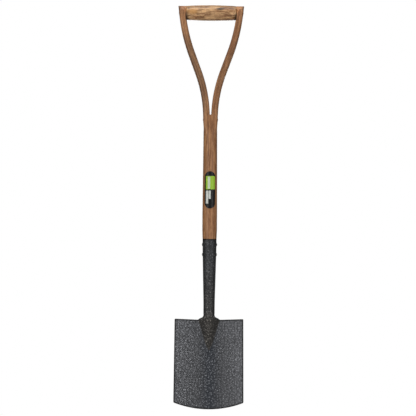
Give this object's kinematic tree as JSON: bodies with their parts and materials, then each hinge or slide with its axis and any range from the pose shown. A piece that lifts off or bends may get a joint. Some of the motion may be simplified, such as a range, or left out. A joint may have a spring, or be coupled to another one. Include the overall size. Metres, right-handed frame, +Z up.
{
  "type": "garden spade",
  "caption": "Digging spade: pressed steel head with a rolled socket, riveted to an ash shaft that is split and steam-bent into a wishbone round a turned cross grip.",
  "frame": {"origin": "centre of the cross grip, on the shaft's centre line", "axes": "+Z up the shaft, from the blade to the grip; -Y is the front, towards which the blade leans and is dished; +X along the grip, to the right seen from the front"},
  "size_m": [0.174, 0.0591, 1.0114],
  "materials": {
    "hammered_enamel": "charcoal hammer-finish enamel, finely speckled, satin",
    "painted_rivet": "rivets sprayed over with the head's enamel, worn a little at the crown",
    "ash": "oiled and stained ash, straight grained, satin",
    "turned_ash": "oiled turned ash with the grain along the grip, satin",
    "bright_steel": "plain steel with a hammered end",
    "label_vinyl": "thin black vinyl with a plain green panel and plain pale bars, no text"
  },
  "bodies": {
    "root": {"head": "hammered_enamel", "socket_rivet_upper": "painted_rivet", "socket_rivet_lower": "painted_rivet", "shaft": "ash", "fork_rivet": "bright_steel", "fork_rivet_rove": "bright_steel", "grip": "turned_ash", "grip_rod": "bright_steel", "grip_rove_left": "bright_steel", "grip_rove_right": "bright_steel", "label": "label_vinyl"}
  },
  "joints": []
}
